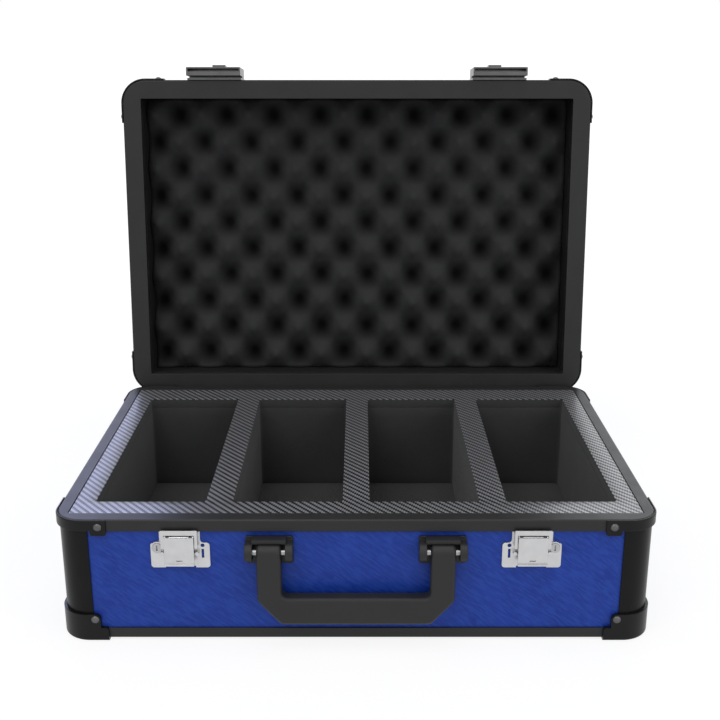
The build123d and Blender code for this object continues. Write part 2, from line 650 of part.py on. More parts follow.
def latch_lever():
    """The lever: a folded channel whose eyes turn on the lug's pin, with a finger lip at its foot."""
    half, top, foot = LEVER_WIDTH / 2, LEVER_PIVOT_Z + LEVER_ABOVE, LEVER_PIVOT_Z - LEVER_BELOW
    face_out = LEVER_FACE_OUT + LEVER_SHEET
    lever = front_block(-half, half, LEVER_FACE_OUT, face_out, foot, top)
    pivot_y = FRONT_FACE_Y - LEVER_PIVOT_OUT
    for side in (-1, 1):
        x0, x1 = sorted((side * (half - LEVER_SHEET), side * half))
        back = LEVER_PIVOT_OUT - LEVER_EYE_R
        lever += front_block(x0, x1, back, face_out, LEVER_PIVOT_Z - LEVER_CHEEK_DROP, LEVER_PIVOT_Z)
        lever += front_block(x0, x1, LEVER_PIVOT_OUT, face_out, LEVER_PIVOT_Z - OVER, top)
        lever += rod_x(LEVER_EYE_R, x0, x1, pivot_y, LEVER_PIVOT_Z)
    lever += front_block(-half, half, face_out, face_out + LEVER_LIP, foot, foot + LEVER_SHEET)
    slot_z = foot + LEVER_SLOT_UP
    slot_half = LEVER_EYE_R
    lever -= front_block(-slot_half, slot_half, LEVER_FACE_OUT - OVER, face_out + OVER, slot_z, slot_z + LEVER_SHEET)
    return lever - rod_x(LEVER_PIN_R + PIN_CLEARANCE, -half - OVER, half + OVER, pivot_y, LEVER_PIVOT_Z)


def latch_claw():
    """The claw: a bar above the lever, with a leg down each side, that slides up into the strike."""
    half, inner = CLAW_WIDTH / 2, LEVER_WIDTH / 2 + CLAW_SIDE_GAP
    back, face = CLAW_OUT, CLAW_OUT + CLAW_THICK
    claw = front_block(-half, half, back, face, CLAW_BAR_Z, CLAW_TOP_Z)
    claw += front_block(-half, -inner, back, face, CLAW_LEG_Z, CLAW_BAR_Z)
    return claw + front_block(inner, half, back, face, CLAW_LEG_Z, CLAW_BAR_Z)


def lock_cylinder():
    """The key cylinder, with its keyway upright."""
    cylinder = rod_y(LOCK_R, -LOCK_X, FRONT_FACE_Y - LOCK_OUT, FRONT_FACE_Y, LOCK_Z)
    x0, x1 = -LOCK_X - KEYWAY_WIDTH / 2, -LOCK_X + KEYWAY_WIDTH / 2
    z0, z1 = LOCK_Z - KEYWAY_LENGTH / 2, LOCK_Z + KEYWAY_LENGTH / 2
    return cylinder - front_block(x0, x1, LOCK_OUT - KEYWAY_DEPTH, LOCK_OUT + OVER, z0, z1)


def latch_pieces():
    """Both latches: the right one is the left one's mirror image."""
    half = LEVER_WIDTH / 2
    pin = rod_x(LEVER_PIN_R, -half, half, FRONT_FACE_Y - LEVER_PIVOT_OUT, LEVER_PIVOT_Z)
    drawn = {"plate": latch_plate(), "lever": latch_lever(), "claw": latch_claw(), "lock_cylinder": lock_cylinder()}
    pieces = {}
    for name, piece in drawn.items():
        left = Pos(-LATCH_X, 0, 0) * piece
        pieces["latch_" + name + "_left"] = left
        pieces["latch_" + name + "_right"] = mirror(left, about=Plane.YZ)
    pieces["latch_lever_pins"] = Part() + [Pos(x, 0, 0) * pin for x in (-LATCH_X, LATCH_X)]
    return pieces


# The lid, drawn shut

def lid_shell():
    """The lid's fixed pieces, turned over and set on the base."""
    leaf_level = HINGE_DROP + SEAM_GAP - LEAF_RIVET_OUT
    pieces = half_case("lid", LID_HEIGHT, LID_BAND, LID_BAND, LID_SKIRT, leaf_level)
    return {name: Pos(0, 0, LID_SEAM_Z) * mirror(piece, about=Plane.XY) for name, piece in pieces.items()}


def lid_lining():
    """The lining that fills the lid's walls out to the band's inner edge."""
    top = LID_SEAM_Z + LID_HEIGHT - FLOOR_LEVEL
    return ring(PANEL_BACK, LID_BAND - INNER_SKIRT_THICK, LID_SEAM_Z + RIM_THICK, top, RIM_INNER_R)


def crate_height(x, y):
    """The level of the egg-crate's face: its peaks and valleys alternate like a chessboard."""
    middle = LID_SEAM_Z + (CRATE_PEAK + CRATE_VALLEY) / 2
    swing = (CRATE_VALLEY - CRATE_PEAK) / 2
    wave_x = cos(tau * (x - CRATE_PHASE_X) / CRATE_PITCH_X)
    wave_y = cos(tau * (y - CRATE_PHASE_Y) / CRATE_PITCH_Y)
    return middle + swing * wave_x * wave_y


def steps_between(limit, pitch):
    """Even steps from -limit to limit, a little finer than the crate's step."""
    count = 2 * int(limit * CRATE_STEPS / pitch) + 2
    return [limit * (2 * i / count - 1) for i in range(count + 1)]


def lid_foam():
    """Egg-crate foam on the lid's inner face, closed by flat sides and a flat back."""
    inset = LID_BAND - INNER_SKIRT_THICK + CRATE_CLEARANCE
    top = LID_SEAM_Z + LID_HEIGHT - FLOOR_LEVEL
    xs = steps_between(CASE_WIDTH / 2 - inset, CRATE_PITCH_X)
    ys = steps_between(CASE_DEPTH / 2 - inset, CRATE_PITCH_Y)
    skin = Face.make_surface_from_array_of_points([[(x, y, crate_height(x, y)) for x in xs] for y in ys], tol=0.1)
    faces, top_edges = [skin], []
    for edge in skin.edges():
        start, end = edge @ 0, edge @ 1
        over_start, over_end = Vector(start.X, start.Y, top), Vector(end.X, end.Y, top)
        top_edge = Edge.make_line(over_start, over_end)
        sides = [Edge.make_line(start, over_start), Edge.make_line(over_end, end)]
        faces.append(Face(Wire([edge, sides[0], top_edge, sides[1]])))
        top_edges.append(top_edge)
    faces.append(Face(Wire(top_edges)))
    return Solid(Shell(faces))


def strike():
    """The left strike on the lid's front wall: a stepped plate and a hood with a slot for the claw."""
    wall_y = -CASE_DEPTH / 2
    x0, x1 = -LATCH_X - STRIKE_OUT, -LATCH_X + STRIKE_IN
    z_skirt, z_top = LID_SEAM_Z + LID_SKIRT, LID_SEAM_Z + STRIKE_DEPTH
    z_end = LID_SEAM_Z - STRIKE_BELOW
    hood_y = wall_y - STRIKE_PLATE - STRIKE_SLOT
    face_y = wall_y - STRIKE_PROUD
    hood = block(x0, x1, face_y, hood_y, z_end, LID_SEAM_Z + STRIKE_HOOD)
    hood = fillet(hood.edges().filter_by(Axis.Z).group_by(Axis.Y)[0], STRIKE_EDGE_R)
    pocket_y = face_y + STRIKE_POCKET_IN
    hood -= block(
        x0 + STRIKE_POCKET_IN, x1 - STRIKE_POCKET_IN, pocket_y, pocket_y + STRIKE_POCKET_HEIGHT,
        z_end - OVER, z_end + STRIKE_POCKET_DEPTH,
    )
    piece = block(x0, x1, wall_y - STRIKE_PLATE, wall_y, LID_SEAM_Z + SEAM_GAP, z_top)
    piece += block(x0, x1, wall_y - STRIKE_PLATE, wall_y + PANEL_INSET, z_skirt, z_top)
    piece += block(x0, x1, hood_y, wall_y, LID_SEAM_Z + STRIKE_SLOT_DEPTH, LID_SEAM_Z + STRIKE_HOOD)
    tab_half = STRIKE_TAB_WIDTH / 2
    tab = block(
        -LATCH_X - tab_half, -LATCH_X + tab_half, face_y - STRIKE_TAB_HEIGHT, face_y + OVER,
        z_end, z_end + STRIKE_TAB_LENGTH,
    )
    return piece + hood + tab


def lid_pieces():
    """The lid with its lining, foam and strikes."""
    pieces = lid_shell()
    left = strike()
    pieces["lid_lining"] = lid_lining()
    pieces["lid_foam"] = lid_foam()
    pieces["strike_left"] = left
    pieces["strike_right"] = mirror(left, about=Plane.YZ)
    return pieces


def opened(piece):
    """A lid piece swung back about the hinge from shut to standing open."""
    return Pos(0, AXIS_Y, AXIS_Z) * Rot(-OPEN_ANGLE, 0, 0) * Pos(0, -AXIS_Y, -AXIS_Z) * piece


def whole_case():
    """Every piece by its node's name, with the origin on the floor under the middle of the open case."""
    pieces = base_shell()
    pieces.update(foam_pieces())
    pieces.update(handle_pieces())
    pieces.update(latch_pieces())
    hinge = hinge_pieces()
    lid = lid_pieces()
    lid["hinge_lid_leaf"] = hinge.pop("hinge_lid_leaf")
    pieces.update(hinge)
    pieces.update({name: opened(piece) for name, piece in lid.items()})
    boxes = [piece.bounding_box() for piece in pieces.values()]
    middle_y = (min(b.min.Y for b in boxes) + max(b.max.Y for b in boxes)) / 2
    return {name: Pos(0, -middle_y, 0) * piece for name, piece in pieces.items()}, middle_y


case, MIDDLE_Y = whole_case()
os.makedirs("parts", exist_ok=True)
for node, piece in case.items():
    export_step(piece, "parts/" + node + ".step")
print(len(case), "nodes; the base's middle is", round(-MIDDLE_Y, 4), "mm along Y from the origin")
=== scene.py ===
import json
from math import cos, pi, radians, sin, tau

import bmesh
import bpy
from mathutils import Matrix, Vector, noise


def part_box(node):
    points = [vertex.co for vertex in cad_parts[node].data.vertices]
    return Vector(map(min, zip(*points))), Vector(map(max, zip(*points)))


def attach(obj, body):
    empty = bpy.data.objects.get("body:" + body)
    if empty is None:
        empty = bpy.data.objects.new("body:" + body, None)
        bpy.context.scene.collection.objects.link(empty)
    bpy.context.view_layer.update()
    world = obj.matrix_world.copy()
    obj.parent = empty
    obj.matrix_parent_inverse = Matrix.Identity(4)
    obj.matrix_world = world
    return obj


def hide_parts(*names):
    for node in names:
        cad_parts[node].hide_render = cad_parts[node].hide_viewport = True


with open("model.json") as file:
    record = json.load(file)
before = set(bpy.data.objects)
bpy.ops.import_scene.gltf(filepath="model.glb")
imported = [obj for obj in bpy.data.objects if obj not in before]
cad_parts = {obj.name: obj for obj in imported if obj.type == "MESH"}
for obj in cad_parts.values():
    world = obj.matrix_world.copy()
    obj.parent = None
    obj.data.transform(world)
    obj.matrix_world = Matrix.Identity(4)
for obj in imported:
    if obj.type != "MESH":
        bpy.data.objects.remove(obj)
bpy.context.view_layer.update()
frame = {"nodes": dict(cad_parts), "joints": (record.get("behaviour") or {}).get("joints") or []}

MM = 0.001

# Places read from the frame
NODES = frame["nodes"]
HINGE = next(joint for joint in frame["joints"] if joint["name"] == "lid_hinge")
AXIS = Vector(HINGE["pos_m"])
OPEN_ANGLE = radians(HINGE["range_deg"][1])
RIM_LOW, RIM_HIGH = (Vector(corner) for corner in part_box("base_rim_frame"))
MIDDLE_Y = (RIM_LOW.y + RIM_HIGH.y) / 2
SEAM_Z = RIM_HIGH.z
CASE_W = RIM_HIGH.x - RIM_LOW.x
CASE_D = RIM_HIGH.y - RIM_LOW.y

# The lanes and the foam round them, as in the model
LANE_COUNT = 4
LANE_W = 91.7 * MM
LANE_L = 254.0 * MM
LANE_DIVIDER = 22.4 * MM
LANE_R = 3.0 * MM
FRONT_MARGIN = 36.0 * MM
LANE_Y = RIM_LOW.y + FRONT_MARGIN + LANE_L / 2
LANE_XS = [(i - (LANE_COUNT - 1) / 2) * (LANE_W + LANE_DIVIDER) for i in range(LANE_COUNT)]
BORDER_R = 16.4 * MM
MOUTH_R = 1.5 * MM
INSERT_STEP = 10.2 * MM

# The lid's lining and egg-crate foam, as in the model: depths are from the shut lid's seam
SEAM_GAP = 0.3 * MM
PANEL_BACK = 7.4 * MM
LINING_INSET = 17.5 * MM
LID_RIM = 3.0 * MM
LID_BOARD = 60.6 * MM
CRATE_GAP = 0.6 * MM
CRATE_PITCH_X = 50.7 * MM
CRATE_PITCH_Y = 58.4 * MM
CRATE_PHASE_X = 10.6 * MM
CRATE_PHASE_Y = -15.2 * MM
CRATE_PEAK = 27.0 * MM
CRATE_VALLEY = 57.0 * MM

# What only the scene has: mesh steps, roundings, the unevenness of cut foam, and the width of painted
# shade at the egg-crate's edges
CRATE_STEP = 2.6 * MM
# Painted shade darkens the egg-crate within this width of its edges
CRATE_SHADE_EDGE = 5.0 * MM
CRATE_POINT = 0.14
CRATE_DRIFT = 1.5 * MM
CRATE_SWELL = 0.8 * MM
CRATE_LUMP = 0.6 * MM
DRIFT_PER_M = 9
LUMPS_PER_M = 60
WALL_WAVES_PER_M = 28.0
WALL_RIPPLES_PER_M = 90.0
WALL_RIPPLE_SHARE = 0.4
WALL_WOBBLE = 0.35 * MM
WALL_LEVELS = 9
LINING_LEVELS = 5
BORDER_STEP = 12 * MM
LANE_STEP = 6 * MM
PAD_ROUND = 1.2 * MM
FOAM_ROUND = 0.5 * MM
SHEET_ROUND = 0.35 * MM
SLAB_SHARP = radians(50)
CRATE_SHARP = radians(60)
MERGE_REACH = 1e-6

# A point of the shut lid is carried to the standing lid by this
TO_OPEN = Matrix.Translation(AXIS) @ Matrix.Rotation(-OPEN_ANGLE, 4, "X") @ Matrix.Translation(-AXIS)


def srgb(r, g, b):
    """A colour given as screen values from 0 to 255, turned into linear light."""
    linear = []
    for value in (r, g, b):
        share = value / 255.0
        linear.append(share / 12.92 if share <= 0.04045 else ((share + 0.055) / 1.055) ** 2.4)
    return (linear[0], linear[1], linear[2], 1.0)


def grey(level, tint=0):
    """A grey of one screen value, a little bluer by tint."""
    return srgb(level, level, level + tint)


# Materials

EDGE_R = 0.8 * MM
TOW_X = 1.68 * MM
TOW_Y = 2.0 * MM
TWILL_REPEAT = 4.0
TWILL_FLOAT = 2.0
STROKE_SLANT = radians(-38)
EVEN = (300.0, 300.0, 300.0)
BRUSHED = (40.0, 900.0, 40.0)
BRUSHED_ACROSS = (40.0, 900.0, 900.0)


class Mat:
    """A node material with a Principled shader, and short calls for the nodes that feed it."""

    def __init__(self, name, color, rough, metal=0.0, spec=0.5, coat=0.0, coat_rough=0.1, sheen=0.0):
        self.mat = bpy.data.materials.new(name)
        self.mat.use_nodes = True
        self.tree = self.mat.node_tree
        self.bsdf = self.tree.nodes["Principled BSDF"]
        self.bsdf.inputs["Base Color"].default_value = color
        self.bsdf.inputs["Roughness"].default_value = rough
        self.bsdf.inputs["Metallic"].default_value = metal
        self.bsdf.inputs["Specular IOR Level"].default_value = spec
        self.bsdf.inputs["Coat Weight"].default_value = coat
        self.bsdf.inputs["Coat Roughness"].default_value = coat_rough
        self.bsdf.inputs["Sheen Weight"].default_value = sheen
        self.coord = self.node("ShaderNodeTexCoord").outputs["Object"]

    def node(self, kind, **values):
        made = self.tree.nodes.new(kind)
        for key, value in values.items():
            setattr(made, key, value)
        return made

    def link(self, a, b):
        self.tree.links.new(a, b)

    def put(self, socket, value):
        """A constant goes on the socket itself, and anything else is linked to it."""
        if isinstance(value, (int, float, tuple)):
            socket.default_value = value
        else:
            self.link(value, socket)

    def math(self, op, a, b=0.0, clamp=False):
        made = self.node("ShaderNodeMath", operation=op, use_clamp=clamp)
        self.put(made.inputs[0], a)
        self.put(made.inputs[1], b)
        return made.outputs[0]

    def scaled(self, scale, turn=(0, 0, 0)):
        """The object's coordinates, turned first and then scaled."""
        turned = self.node("ShaderNodeMapping")
        self.link(self.coord, turned.inputs["Vector"])
        turned.inputs["Rotation"].default_value = turn
        made = self.node("ShaderNodeMapping")
        self.link(turned.outputs["Vector"], made.inputs["Vector"])
        made.inputs["Scale"].default_value = scale
        return made.outputs["Vector"]

    def split(self):
        made = self.node("ShaderNodeSeparateXYZ")
        self.link(self.coord, made.inputs[0])
        return made.outputs

    def noise(self, scale, detail=3.0, rough=0.55, vector=None):
        """Soft noise: a scale of 100 has features about 10 mm wide."""
        made = self.node("ShaderNodeTexNoise")
        self.link(vector or self.coord, made.inputs["Vector"])
        made.inputs["Scale"].default_value = scale
        made.inputs["Detail"].default_value = detail
        made.inputs["Roughness"].default_value = rough
        return made.outputs["Fac"]

    def cells(self, scale):
        """The distance to the middle of the nearest cell."""
        made = self.node("ShaderNodeTexVoronoi")
        self.link(self.coord, made.inputs["Vector"])
        made.inputs["Scale"].default_value = scale
        return made.outputs["Distance"]

    def ramp(self, value, stops):
        """A grey ramp over (position, level) stops."""
        made = self.node("ShaderNodeValToRGB")
        self.link(value, made.inputs["Fac"])
        ramp = made.color_ramp
        while len(ramp.elements) < len(stops):
            ramp.elements.new(0.5)
        for element, (at, level) in zip(ramp.elements, stops):
            element.position = at
            element.color = (level, level, level, 1.0)
        return made.outputs["Color"]

    def mix(self, factor, a, b):
        made = self.node("ShaderNodeMix", data_type="RGBA")
        self.put(made.inputs[0], factor)
        self.put(made.inputs[6], a)
        self.put(made.inputs[7], b)
        return made.outputs[2]

    def spread(self, value, low, high):
        """A 0 to 1 value spread between low and high."""
        made = self.node("ShaderNodeMapRange")
        self.put(made.inputs["Value"], value)
        made.inputs["To Min"].default_value = low
        made.inputs["To Max"].default_value = high
        return made.outputs["Result"]

    def bump(self, height, distance, strength=1.0, under=None):
        made = self.node("ShaderNodeBump")
        made.inputs["Strength"].default_value = strength
        made.inputs["Distance"].default_value = distance
        self.link(height, made.inputs["Height"])
        if under is not None:
            self.link(under, made.inputs["Normal"])
        return made.outputs["Normal"]

    def soft_edge(self, radius):
        """A normal that rounds the piece's edges a little to the eye."""
        made = self.node("ShaderNodeBevel", samples=4)
        made.inputs["Radius"].default_value = radius
        return made.outputs["Normal"]

    def color(self, value):
        self.link(value, self.bsdf.inputs["Base Color"])

    def rough(self, value):
        self.link(value, self.bsdf.inputs["Roughness"])

    def normal(self, value):
        self.link(value, self.bsdf.inputs["Normal"])


def blue_laminate():
    """Blue decor laminate with short slanted strokes pressed into it."""
    m = Mat("blue_laminate", srgb(22, 55, 150), 0.45, spec=0.25, coat=0.05, coat_rough=0.3)
    cloud = m.noise(38.0, 4.0, 0.6)
    slanted = m.scaled((110.0, 260.0, 640.0), (0.0, STROKE_SLANT, 0.0))
    stroke = m.noise(1.0, 2.0, 0.5, slanted)
    grain = m.noise(1500.0, 2.0)
    shade = m.mix(m.ramp(cloud, [(0.3, 0.0), (0.7, 1.0)]), srgb(14, 50, 142), srgb(24, 60, 158))
    shade = m.mix(m.ramp(stroke, [(0.42, 0.0), (0.62, 0.4)]), shade, srgb(44, 84, 180))
    m.color(shade)
    m.rough(m.spread(stroke, 0.36, 0.54))
    m.normal(m.bump(grain, 0.00004, 0.35, m.bump(stroke, 0.00025, 0.5)))
    return m.mat


def black_metal(name, level, rough, spec=0.3):
    """Black coated metal: a fine orange peel, with cloudy gloss."""
    m = Mat(name, grey(level), rough, spec=spec)
    cloud = m.noise(45.0, 4.0)
    peel = m.noise(900.0, 2.0, 0.6)
    wear = m.ramp(m.noise(260.0, 5.0, 0.7), [(0.62, 0.0), (0.78, 1.0)])
    m.color(m.mix(wear, m.mix(cloud, grey(level - 5), grey(level + 6)), grey(level + 16)))
    m.rough(m.spread(cloud, rough - 0.06, rough + 0.08))
    m.normal(m.bump(peel, 0.00005, 0.45, m.soft_edge(EDGE_R)))
    return m.mat


def bright_metal(name, level, rough, along):
    """Plated steel: its smears run along the axis with the smallest scale."""
    m = Mat(name, grey(level, 1), rough, metal=1.0)
    smear = m.noise(1.0, 3.0, 0.6, m.scaled(along))
    cloud = m.noise(120.0, 3.0)
    m.color(m.mix(cloud, grey(level - 12, 2), grey(level + 8)))
    m.rough(m.spread(smear, rough - 0.07, rough + 0.1))
    m.normal(m.bump(smear, 0.00003, 0.3, m.soft_edge(EDGE_R / 2)))
    return m.mat


def moulded_plastic():
    """The handle's dark plastic, with a spark-eroded grain."""
    m = Mat("handle_plastic", grey(40), 0.5, spec=0.3)
    cloud = m.noise(60.0, 3.0)
    m.color(m.mix(cloud, grey(35), grey(45)))
    m.rough(m.spread(cloud, 0.42, 0.58))
    m.normal(m.bump(m.cells(1500.0), 0.00005, 0.4, m.soft_edge(2 * EDGE_R)))
    return m.mat


def foam_base(name, level, spec, sheen):
    """Open-cell foam: a slightly cloudy grey with painted shade in its pores. It gives the material and
    its colour.
    """
    m = Mat(name, grey(level), 0.95, spec=spec, sheen=sheen)
    pores = m.cells(1100.0)
    skin = m.mix(m.noise(30.0, 3.0), grey(level - 5), grey(level + 5))
    # Painted shade darkens the middles of the pores
    shade = m.mix(m.ramp(pores, [(0.05, 0.0), (0.35, 1.0)]), grey(level - 14), skin)
    m.normal(m.bump(m.noise(700.0, 4.0, 0.7), 0.0003, 0.5, m.bump(pores, 0.0004, 0.6)))
    return m, shade


def foam(name, level, spec=0.15, sheen=0.12):
    """Plain cut foam."""
    m, shade = foam_base(name, level, spec, sheen)
    m.color(shade)
    return m.mat


def crate_foam():
    """Egg-crate foam, with painted shade that darkens its valleys and its edges."""
    m, shade = foam_base("egg_crate_foam", 56, 0.1, 0.1)
    # The depth attribute is how much painted shade each point gets: grey 9 in the valleys and at the edges
    depth = m.node("ShaderNodeAttribute", attribute_name="depth").outputs["Fac"]
    m.color(m.mix(m.ramp(depth, [(0.4, 0.0), (0.95, 0.92)]), shade, grey(9)))
    return m.mat


def twill():
    """A 2 by 2 twill of flat tows: the lengthwise ones get a painted sheen and the crosswise ones stay
    near black, with painted shade at the tows' low edges.
    """
    m = Mat("twill_sheet", grey(40), 0.34, spec=0.5, coat=0.15, coat_rough=0.2)
    place_x, place_y, _ = m.split()
    x = m.math("DIVIDE", place_x, TOW_X)
    y = m.math("DIVIDE", place_y, TOW_Y)
    order = m.math("ADD", m.math("FLOOR", x), m.math("FLOOR", y))
    over = m.math("LESS_THAN", m.math("FLOORED_MODULO", order, TWILL_REPEAT), TWILL_FLOAT - 0.5)
    crown_x = m.math("SINE", m.math("MULTIPLY", m.math("FRACT", x), pi))
    crown_y = m.math("SINE", m.math("MULTIPLY", m.math("FRACT", y), pi))
    under_share = m.math("MULTIPLY", m.math("SUBTRACT", 1.0, over), crown_y)
    height = m.math("ADD", m.math("MULTIPLY", over, crown_x), under_share)
    strands = m.noise(1.0, 2.0, 0.5, m.scaled((9000.0, 900.0, 900.0)))
    # Painted sheen: the over tows are painted light grey and the under tows near black
    painted_sheen = m.mix(m.noise(90.0, 3.0), grey(122, 3), grey(146, 4))
    tone = m.mix(over, grey(6, 1), painted_sheen)
    # Painted shade darkens the low edges of every tow
    m.color(m.mix(m.ramp(height, [(0.0, 0.45), (0.4, 1.0)]), grey(12), tone))
    m.rough(m.spread(over, 0.42, 0.3))
    m.normal(m.bump(strands, 0.00003, 0.3, m.bump(height, 0.00012, 0.5)))
    return m.mat


BLUE = blue_laminate()
EDGING = black_metal("black_edging", 36, 0.4)
POST = black_metal("black_posts", 20, 0.3, 0.12)
CORNER = black_metal("black_corners", 24, 0.3, 0.16)
STRIKE = bright_metal("strike_steel", 100, 0.3, BRUSHED_ACROSS)
RIVET = bright_metal("rivet_steel", 96, 0.42, EVEN)
LATCH = bright_metal("latch_steel", 200, 0.34, BRUSHED)
LOCK = bright_metal("lock_steel", 176, 0.34, EVEN)
HINGE_STEEL = bright_metal("hinge_steel", 165, 0.34, BRUSHED)
HANDLE = moulded_plastic()
FOAM = foam("black_foam", 68)
LINING = foam("lining_foam", 36, 0.05, 0.0)
CRATE = crate_foam()
TWILL = twill()


# The model's own pieces, given their materials

def material_of(name):
    """The material of a piece of the model, by its name."""
    if "_panel" in name or "outer_board" in name:
        return BLUE
    if name.endswith("_rivets"):
        return RIVET
    if name.endswith("_pins"):
        return HINGE_STEEL
    if "boot" in name or "rim_cap" in name:
        return CORNER
    if "corner_posts" in name:
        return POST
    if "lock_cylinder" in name:
        return LOCK
    if name.startswith(("base_", "lid_")):
        return EDGING
    if name.startswith("handle"):
        return HANDLE
    if name.startswith("strike"):
        return STRIKE
    if name.startswith("hinge"):
        return HINGE_STEEL
    return LATCH if name.startswith("latch") else FOAM


def dress(name):
    """Gives a piece of the model its material."""
    mesh = NODES[name].data
    mesh.materials.clear()
    mesh.materials.append(material_of(name))
    for polygon in mesh.polygons:
        polygon.material_index = 0


# Soft pieces

def new_object(name, mesh, mat, smooth=True):
    """An object in the scene with this mesh and one material."""
    made = bpy.data.objects.new(name, mesh)
    bpy.context.scene.collection.objects.link(made)
    mesh.materials.clear()
    mesh.materials.append(mat)
    for polygon in mesh.polygons:
        polygon.use_smooth = smooth
        polygon.material_index = 0
    return made


def rounded_outline(low, high, r, step, arc=6):
    """Points round a rounded rectangle, counter-clockwise, about a step apart on its straight sides."""
    left, right = low[0] + r, high[0] - r
    front, rear = low[1] + r, high[1] - r
    centres = [(right, front), (right, rear), (left, rear), (left, front)]
    arcs = []
    for quarter, (x, y) in enumerate(centres):
        turns = [pi / 2 * (quarter - 1 + i / arc) for i in range(arc + 1)]
        arcs.append([(x + r * cos(turn), y + r * sin(turn)) for turn in turns])
    points = []
    for i, one in enumerate(arcs):
        points += one
        start, end = Vector(one[-1]), Vector(arcs[(i + 1) % len(arcs)][0])
        count = max(1, int((end - start).length / step))
        points += [tuple(start.lerp(end, k / count)) for k in range(1, count)]
    return points


def outline_mesh(name, outlines, depth, rounding, segments):
    """A flat solid of an outline with holes, centred on z = 0, with rounded rims."""
    curve = bpy.data.curves.new(name, "CURVE")
    curve.dimensions = "2D"
    curve.fill_mode = "BOTH"
    for points in outlines:
        spline = curve.splines.new("POLY")
        spline.points.add(len(points) - 1)
        for point, (x, y) in zip(spline.points, points):
            point.co = (x, y, 0.0, 1.0)
        spline.use_cyclic_u = True
    curve.bevel_depth = rounding
    curve.bevel_resolution = segments
    curve.offset = -rounding
    curve.extrude = depth / 2 - rounding
    holder = bpy.data.objects.new(name + "_curve", curve)
    bpy.context.scene.collection.objects.link(holder)
    graph = bpy.context.evaluated_depsgraph_get()
    mesh = bpy.data.meshes.new_from_object(holder.evaluated_get(graph))
    bpy.data.objects.remove(holder)
    mesh.name = name
    return mesh


def slab(name, outlines, z0, z1, rounding, mat, levels=1, wobble=0.0, segments=3):
    """A slab with holes: its first outline is the border. Wobble moves its walls a little."""
    mesh = outline_mesh(name, outlines, z1 - z0, rounding, segments)
    mesh.transform(Matrix.Translation((0, 0, (z0 + z1) / 2)))
    bm = bmesh.new()
    bm.from_mesh(mesh)
    bmesh.ops.remove_doubles(bm, verts=bm.verts, dist=MERGE_REACH)
    for k in range(1, levels):
        level = z0 + rounding + (z1 - z0 - 2 * rounding) * k / levels
        geom = bm.verts[:] + bm.edges[:] + bm.faces[:]
        bmesh.ops.bisect_plane(bm, geom=geom, plane_co=(0, 0, level), plane_no=(0, 0, 1))
    if wobble:
        bm.normal_update()
        places = [vert.co + wall_drift(vert) * wobble for vert in bm.verts]
        for vert, place in zip(bm.verts, places):
            vert.co = place
    bmesh.ops.recalc_face_normals(bm, faces=bm.faces)
    bm.to_mesh(mesh)
    bm.free()
    made = new_object(name, mesh, mat)
    mark_sharp(made, SLAB_SHARP)
    return made


def wall_drift(vert):
    """How far a point of an upright wall drifts along its normal, about 1 at most."""
    side = Vector((vert.normal.x, vert.normal.y, 0.0))
    waves = noise.noise(vert.co * WALL_WAVES_PER_M)
    ripples = noise.noise(vert.co * WALL_RIPPLES_PER_M)
    return side * (waves + WALL_RIPPLE_SHARE * ripples)


def mark_sharp(piece, angle):
    """Marks the edges that bend by more than angle, so that flat faces shade flat."""
    bm = bmesh.new()
    bm.from_mesh(piece.data)
    for edge in bm.edges:
        if len(edge.link_faces) == 2:
            edge.smooth = edge.calc_face_angle(0.0) < angle
    bm.to_mesh(piece.data)
    bm.free()


def base_soft():
    """The pad, the insert with its lanes and the twill sheet on it."""
    pad_low, pad_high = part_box("foam_base_pad")
    insert_low, insert_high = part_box("foam_insert")
    sheet_low, sheet_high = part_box("foam_top_sheet")
    step = SEAM_Z - INSERT_STEP
    border = rounded_outline(pad_low, pad_high, BORDER_R, BORDER_STEP)
    mouth = rounded_outline(sheet_low, sheet_high, MOUTH_R, BORDER_STEP)
    half = Vector((LANE_W / 2, LANE_L / 2))
    middles = [Vector((x, LANE_Y)) for x in LANE_XS]
    lanes = [rounded_outline(middle - half, middle + half, LANE_R, LANE_STEP) for middle in middles]
    pad = slab("base_pad", [border], pad_low[2], pad_high[2], PAD_ROUND, FOAM)
    lower = slab("lane_foam", [border] + lanes, insert_low[2], step, FOAM_ROUND, FOAM,
                 levels=WALL_LEVELS, wobble=WALL_WOBBLE, segments=2)
    upper = slab("lane_foam_top", [mouth] + lanes, step, insert_high[2], FOAM_ROUND, FOAM, levels=2)
    sheet = slab("twill_sheet", [mouth] + lanes, sheet_low[2], sheet_high[2], SHEET_ROUND, TWILL)
    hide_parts("foam_base_pad")
    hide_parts("foam_insert")
    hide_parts("foam_top_sheet")
    for piece in (pad, lower, upper, sheet):
        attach(piece, "base")


def crate_depth(x, y):
    """How far the egg-crate's face lies above the shut lid's seam: its peaks are the shallow places."""
    wave_x = cos(tau * (x - CRATE_PHASE_X) / CRATE_PITCH_X)
    wave_y = cos(tau * (y - CRATE_PHASE_Y) / CRATE_PITCH_Y)
    wave = wave_x * wave_y
    pointed = wave * (1.0 - CRATE_POINT + CRATE_POINT * wave * wave)
    return (CRATE_PEAK + CRATE_VALLEY) / 2 + (CRATE_VALLEY - CRATE_PEAK) / 2 * pointed


def uneven_depth(x, y):
    """The egg-crate's depth with the drift and lumps of cut foam."""
    drift_x = noise.noise(Vector((x * DRIFT_PER_M, y * DRIFT_PER_M, 2.0)))
    drift_y = noise.noise(Vector((x * DRIFT_PER_M, y * DRIFT_PER_M, 7.0)))
    lumps = noise.noise(Vector((x * LUMPS_PER_M, y * LUMPS_PER_M, 4.0)))
    depth = crate_depth(x + drift_x * CRATE_DRIFT, y + drift_y * CRATE_DRIFT)
    return depth + CRATE_SWELL * drift_x + CRATE_LUMP * lumps


